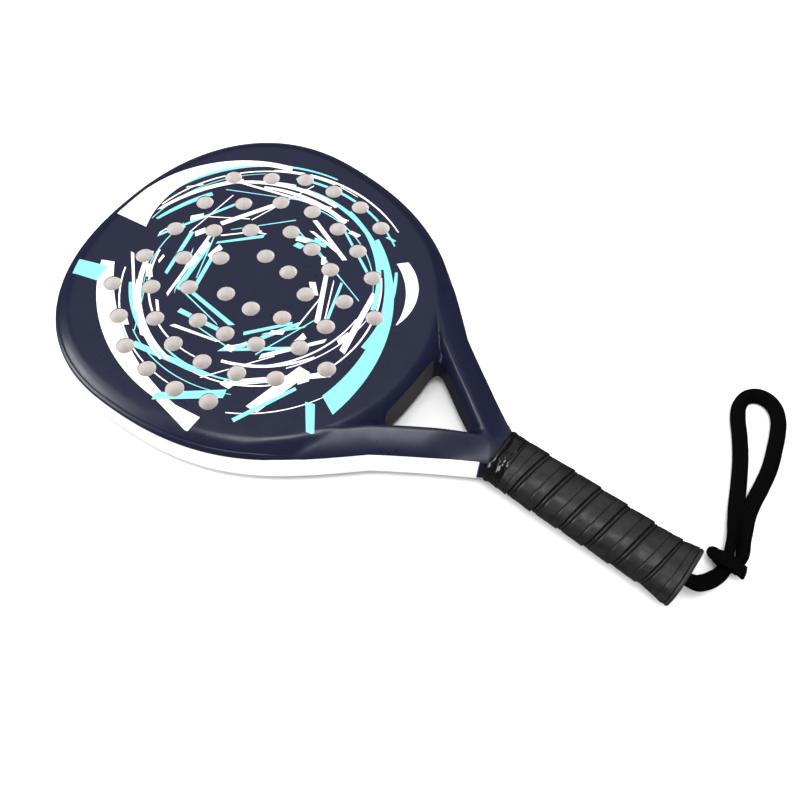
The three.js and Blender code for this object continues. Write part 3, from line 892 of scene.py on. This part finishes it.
def surface_normals(plan, corners, top):
    """The front surface's normals: from its height field, and from its triangles along its edges."""
    normals = vertex_normals(np.column_stack([plan, top]), corners)
    step = 0.2
    open_field = (distance_to(plan, OUTLINE) > 0.6) & (from_throat(plan) > 0.3)
    places = plan[open_field]
    east = height(places + (step, 0)) - height(places - (step, 0))
    north = height(places + (0, step)) - height(places - (0, step))
    slopes = np.column_stack([-east, -north, np.full(len(places), 2 * step)])
    normals[open_field] = slopes / np.linalg.norm(slopes, axis=1)[:, None]
    return normals


def solid_between(name, plan, corners, top, bottom, materials, indices, shared, wall_paint=None):
    """A closed body between two heights over the same triangles, with crisp walls.

    shared gives the surface's normals at every plan point, so that neighbouring pieces shade as one.
    wall_paint gives a wall's material index from its place in the plan.
    """
    used = np.unique(corners)
    number = np.full(len(plan), -1)
    number[used] = np.arange(len(used))
    count = len(used)
    vertices = np.vstack([
        np.column_stack([plan[used], top[used]]),
        np.column_stack([plan[used], bottom[used]]),
    ])
    upper = number[corners]
    faces = upper.tolist() + (upper[:, ::-1] + count).tolist()
    rim = boundary_edges(corners)
    walls = [(number[b], number[a], number[a] + count, number[b] + count) for a, b in rim]
    wall_middles = np.array([(plan[a] + plan[b]) / 2 for a, b in rim])
    wall_index = wall_paint(wall_middles) if wall_paint else np.zeros(len(walls))
    piece = link_mesh(name, vertices, faces + walls, materials,
                      np.concatenate([indices, indices, wall_index]).astype(int))
    sideways = np.zeros((len(plan), 3))
    for a, b in rim:
        run = plan[b] - plan[a]
        facing = np.array([run[1], -run[0], 0])
        sideways[a] += facing
        sideways[b] += facing
    sideways /= np.maximum(np.linalg.norm(sideways, axis=1), 1e-12)[:, None]
    above, below = shared
    loops = np.vstack([
        above[corners.ravel()], below[corners[:, ::-1].ravel()],
        np.vstack([[sideways[b], sideways[a], sideways[a], sideways[b]] for a, b in rim]),
    ])
    piece.data.normals_split_custom_set(loops.tolist())
    return piece


def flipped_z(normals):
    return normals * (1, 1, -1)


def build_head():
    plan, corners = head_triangles()
    top = height(plan)
    rim = distance_to(plan, OUTLINE) < 1e-3
    top[rim] = SHOULDER_FOOT
    normals = surface_normals(plan, corners, top)
    middles = plan[corners].mean(axis=1)
    on_face = inside(middles, FACE)

    # The bridge's wall in the throat gets the grey lacquer: painted reflection of the white floor.
    def reflection_painted_walls(places):
        return (past_bridge(places) < 1.0) & (from_throat(places) < 0.1)

    shell = solid_between("frame_shell", plan, corners[~on_face], top, THICKNESS - top, [navy, throat_reflection_grey],
                          np.zeros((~on_face).sum(), int), (normals, flipped_z(normals)), reflection_painted_walls)
    stands_for(shell, "lacquered_composite", "frame_tube", "throat_bridge")

    face_corners = corners[on_face]
    colours = np.zeros(len(face_corners), int)
    for index, shape in streaks():
        colours[inside(middles[on_face], shape)] = index
    prints = [navy, print_white, print_cyan]
    front = solid_between("face_sheet_front", plan, face_corners, top, top - SKIN, prints, colours,
                          (normals, -normals))
    stands_for(front, "lacquered_composite", "face_front")
    rear = solid_between("face_sheet_rear", plan, face_corners, THICKNESS - top + SKIN, THICKNESS - top,
                         prints, colours, (-flipped_z(normals), flipped_z(normals)))
    stands_for(rear, "lacquered_composite", "face_rear")


def build_core():
    """The drilled foam between the face sheets. Its hole walls are what shows."""
    plan = Plan()
    edge = FACE_END["x"] - CORE["short_of_face"]
    ring = inset(ARM_WIDTH + CORE["edge_gap"])
    ring = ring[ring[:, 0] < edge - ring[:, 1] ** 2 / CORE["end_curve"]]
    plan.loop(ring)
    for centre in hole_centres():
        plan.loop(circle(centre, HOLE_RADIUS + CORE["hole_gap"], HOLE_SIDES))
    points, corners = plan.triangles()
    middles = points[corners].mean(axis=1)
    kept = inside(middles, ring) & outside_holes(middles, HOLE_RADIUS)
    flat = np.ones(len(points))
    up = np.tile((0.0, 0.0, 1.0), (len(points), 1))
    low = SKIN + CORE["skin_gap"]
    core = solid_between("drilled_core", points, corners[kept], flat * (THICKNESS - low), flat * low,
                         [foam("core_foam", (0.97, 0.93, 0.91))], np.zeros(kept.sum(), int), (up, -up))
    stands_for(core, "core_foam", "foam_core")


def build_band():
    """A film strip round the head's edge that follows the shoulder's start at its low side."""
    side = np.linspace(BAND["high"], BAND["round_from"] + 1, 8)
    rounding = np.linspace(BAND["round_from"], BAND["low"], 6)
    heights = np.concatenate([side, rounding])
    under = np.clip((THICKNESS - SHOULDER_FOOT - heights) / (CREASE_TOP - SHOULDER_FOOT), 0, 1)
    inwards = SHOULDER_RUN * (1 - np.sqrt(1 - under ** 2)) - BAND["proud"]
    inward = turned_in(directions(OUTLINE))
    chain = [(place, facing) for place, facing in zip(OUTLINE, inward) if place[0] < BAND["end"]]
    vertices = []
    for place, facing in chain:
        outer = [(*(place + facing * depth), z) for depth, z in zip(inwards, heights)]
        inner = [(*(place + facing * (depth + BAND["depth"])), z) for depth, z in zip(inwards, heights)]
        vertices.extend(outer + inner[::-1])
    corners = 2 * len(heights)
    faces = ring_faces(len(chain), corners)
    band = link_mesh("edge_band_film", vertices, faces, [band_film()])
    stands_for(band, "edge_band", "edge_band")
    sharpen(band)


def sharpen(piece, degrees=40):
    """Edges sharper than this shade as edges."""
    piece.data.set_sharp_from_angle(angle=math.radians(degrees))


# ---- handle ----
def section(turn, half):
    """A point on the handle's rounded section. turn is an angle, half its half width and height."""
    cos, sin = np.cos(turn), np.sin(turn)
    radius = (np.abs(cos) ** SECTION_EXPONENT + np.abs(sin) ** SECTION_EXPONENT) ** (-1 / SECTION_EXPONENT)
    return half[0] * radius * cos, MID + half[1] * radius * sin


def grip_point(turn, added):
    """A point round the handle, this far outside WRAP_INSIDE."""
    return section(turn, (WRAP_INSIDE[0] + added, WRAP_INSIDE[1] + added))


def turns_round(count):
    return [corner / count * 2 * math.pi for corner in range(count)]


def tube_faces(rings, around):
    """Quads between the rings, and between the last ring and the first, so that a tube's wall is closed."""
    last = (rings - 1) * around
    closing = [(last + k, last + (k + 1) % around, (k + 1) % around, k) for k in range(around)]
    return ring_faces(rings, around, closed_ends=False) + closing


def flare_at(x):
    return FLARE["by"] * np.clip((x - FLARE["from"]) / (FLARE["to"] - FLARE["from"]), 0, 1)


def wavy(x, y, z, per_mm, seed):
    return noise.noise(Vector((x * per_mm + seed, y * per_mm, z * per_mm)))


def tape_profile(u):
    """The wound strip's thickness across its width, from its covered edge to its covering edge."""
    pitch = TAPE["pitch"]
    thickness = TAPE["thin"] + (TAPE["thick"] - TAPE["thin"]) * (u / pitch) ** 1.3
    for place, half_width in TAPE_LINES:
        thickness -= 1.7 * half_width * math.exp(-((u - place) / (half_width * 1.2)) ** 2)
    rounding = 0.45
    left = pitch - u
    if left < rounding:
        thickness -= 0.6 * (1 - math.sqrt(1 - (1 - left / rounding) ** 2))
    return thickness


def build_overgrip():
    """One strip wound in a helix. Each ring of points goes over the strip's top and back under it."""
    pitch, start, end = TAPE["pitch"], TAPE["from"], TAPE["to"]
    per_turn = 120
    first_turn = 0.16
    narrowest = 0.8
    underside = 0.1
    mm_per_step = 0.8
    steps = int((end - start) / pitch * per_turn) + per_turn
    vertices, uvs, rings = [], [], 0
    for step in range(1, steps):
        edge = start + pitch * (step / per_turn - 1)
        near, far = max(edge, start), min(edge + pitch, end)
        if far - near < narrowest:
            continue
        turn = -(step / per_turn) * 2 * math.pi - first_turn
        for u in TAPE_STATIONS:
            x = near + (far - near) * u / pitch
            y, z = grip_point(turn, 0)
            pucker = 0.22 * wavy(x, y, z, 0.13, 3) + 0.1 * wavy(x, y * 2, z * 2, 0.35, 9)
            crease = max(0.0, wavy(x + y * 0.3, y, z, 0.09, 21) - 0.15) * 0.5 * math.sin(u * 2.1)
            thickness = tape_profile(u) + pucker + crease * 0.3
            vertices.append((x, *grip_point(turn, flare_at(x) + thickness)))
            uvs.append((step * mm_per_step, u))
        for u in (TAPE_STATIONS[-1], 0):
            x = near + (far - near) * u / pitch
            vertices.append((x, *grip_point(turn, flare_at(x) + underside)))
            uvs.append((step * mm_per_step, u))
        rings += 1
    faces = [face[::-1] for face in ring_faces(rings, len(TAPE_STATIONS) + 2)]
    piece = link_mesh("overgrip_strip", vertices, faces, [leather()], uvs=uvs)
    stands_for(piece, "grip_leather", "overgrip")
    sharpen(piece, 55)


def build_collar():
    """Glossy tape round the neck, crumpled between its two ends."""
    def crumple(x, y, z):
        fade = min(1.0, (COLLAR["to"] - x) / 2, (x - NECK_END) / 1.2)
        folds = abs(wavy(x * 2.2, y, z, 0.1, 5)) + 0.5 * abs(wavy(x * 1.5, y, z, 0.2, 14))
        return max(0.0, fade) * (1.3 * folds - 0.3)

    start, end, inside_wall = COLLAR["from"], COLLAR["to"], COLLAR["inside"]
    outer = [(x, COLLAR["stands"] + COLLAR["wave"] * math.sin((x - NECK_END) * 0.9))
             for x in np.linspace(start, end, 46)]
    stations = [(start, inside_wall)] + outer + [(end, inside_wall)]
    around = 150
    vertices = []
    for x, added in stations:
        for turn in turns_round(around):
            folded = added + crumple(x, *grip_point(turn, added))
            vertices.append((x, *grip_point(turn, folded)))
    faces = tube_faces(len(stations), around)
    piece = link_mesh("collar_tape_wrap", vertices, faces, [crumpled_tape()])
    stands_for(piece, "collar_tape", "collar_tape")
    sharpen(piece, 70)


def build_butt():
    """The butt cap: a skirt under the grip, a rounded rim, a dished end and the strap's hole."""
    rim = FLARE["by"] + BUTT["rim"]
    flange = BUTT["flange"]
    skirt = [(437.0, -0.6), (440, -0.2), (446, 0.6), (flange - 0.2, 1.4), (flange, rim - 0.8)]
    rounded_rim = [
        (452.45, rim - 0.3), (452.75, rim - 0.06), (453.2, rim), (453.8, rim - 0.02),
        (454.3, rim - 0.2), (454.7, rim - 0.6), (454.9, rim - 1.2), (455, rim - 2.2),
    ]
    dish = [(454.95, rim - 3.4), (454.5, rim - 4.0), (454.35, rim - 5), (454.3, rim - 8)]
    around = 120
    turns = turns_round(around)
    vertices = [(x, *grip_point(turn, added)) for x, added in skirt + rounded_rim + dish for turn in turns]
    for x, wider in ((454.3, 0.9), (454.2, 0.3), (453.8, 0), (447, 0), (437.0, 0)):
        radius = BUTT["hole"] + wider
        vertices += [(x, radius * math.cos(turn), MID + radius * math.sin(turn)) for turn in turns]
    faces = tube_faces(len(vertices) // around, around)
    piece = link_mesh("butt_cap_moulding", vertices, faces, [moulded_cap()])
    stands_for(piece, "butt_cap", "butt_cap")
    sharpen(piece, 50)


# ---- wrist strap ----
def strap_section(width, thickness, sides):
    """A flat tube's section, ribbed along its length, as (across, up) pairs."""
    angle = np.arange(sides) / sides * 2 * math.pi
    flat = 2.6
    radius = (np.abs(np.cos(angle)) ** flat + np.abs(np.sin(angle)) ** flat) ** (-1 / flat)
    across, up = radius * np.cos(angle), radius * np.sin(angle)
    across, up = across * width / 2, up * thickness / 2
    valley = 0.5 - 0.5 * np.cos(across * 2 * math.pi / RIB_PITCH)
    return across, up - np.sign(up) * 0.36 * valley * np.abs(up) / thickness * 2


def swept_strap(name, path, sizes, tilts, material):
    """A flat cord along the path. sizes are its width and thickness, tilts its turn about the path."""
    sides = 96
    vertices, uvs = [], []
    stations = zip(path, directions(path), sizes, tilts, travelled(path))
    for place, ahead, (width, thickness), tilt, distance in stations:
        aside = np.cross((0, 0, 1), ahead)
        aside /= np.linalg.norm(aside)
        up = np.cross(ahead, aside)
        cos, sin = math.cos(tilt), math.sin(tilt)
        aside, up = aside * cos + up * sin, up * cos - aside * sin
        across, rise = strap_section(width, thickness, sides)
        ring = place + across[:, None] * aside + rise[:, None] * up
        vertices.extend(ring.tolist())
        uvs.extend((distance, a) for a in across)
    faces = ring_faces(len(path), sides)
    return link_mesh(name, vertices, faces, [material], uvs=uvs)


def build_strap():
    weave = braid()
    through_knot = [(471.6, 28, 5.4), (470.2, 34, 5.4)]
    back_in_knot = [(476.6, 34, 5.8), (475.2, 29, 6.0)]
    route = [np.array(p, float) for p in LEAD_ROUTE + through_knot + LOOP_ROUTE + back_in_knot]
    for place in route[len(LEAD_ROUTE) - 1:]:
        place[2] -= CORD_DROP
    path = splined(route, 0.9)
    apex = np.array([431.0, 150.0])
    sizes, tilts = [], []
    for place in path:
        leaving = smoothstep(452, 464, place[0]) if place[1] < 15 else 1.0
        near_knot = smoothstep(16, 4, abs(place[1] - 30)) if place[1] < 50 else 0.0
        at_apex = smoothstep(24, 4, np.linalg.norm(place[:2] - apex))
        width = CORD_IN_HOLE[0] + (CORD_WIDTH - CORD_IN_HOLE[0]) * leaving - KNOT_SQUEEZE * near_knot
        thickness = CORD_IN_HOLE[1] + (CORD_THICKNESS - CORD_IN_HOLE[1]) * leaving
        sizes.append((width, thickness - APEX_THINNING * at_apex))
        on_edge = smoothstep(74, 42, place[1]) if place[0] > 456 and place[1] > 30 else 0.0
        tilts.append(APEX_TILT * at_apex + KNOT_TILT * on_edge)
    for place, tilt in zip(path, tilts):
        place[2] += TILT_LIFT * tilt
    strap = swept_strap("wrist_strap", path, sizes, tilts, weave)
    stands_for(strap, "strap_braid", "strap_lead", "strap_loop")

    turn = [
        (474.5, 27.5, 3.6), (468, 31.5, 3.2), (462.8, 31.6, 5.0), (461.8, 30.2, 8.2), (465.2, 29.0, 11.0),
        (470.6, 29.2, 11.9), (475.8, 29.8, 10.6), (479.6, 30.4, 8.2), (482.4, 31.0, 6.2),
    ]
    knot_path = splined(turn, 0.8)
    count = len(knot_path)
    knot = swept_strap("strap_knot_turn", knot_path, [CORD_IN_KNOT] * count, [0.0] * count, weave)
    stands_for(knot, "strap_braid", "strap_knot")


def dress_hidden_nodes():
    """The CAD nodes that stay get their own materials."""
    pallet = foam("pallet_foam", (0.26, 0.23, 0.18), cell=1.5)
    looks = {
        "frame_filler": foam("filler_foam", (0.5, 0.47, 0.4)),
        "handle_pallet_front": pallet,
        "handle_pallet_rear": pallet,
        "base_grip": cushion_sleeve(),
        "strap_anchor": bpy.data.materials["strap_braid"],
    }
    for name, material in looks.items():
        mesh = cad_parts[name].data
        mesh.materials.clear()
        mesh.materials.append(material)


build_strap()
build_head()
build_core()
build_band()
build_overgrip()
build_collar()
build_butt()
dress_hidden_nodes()
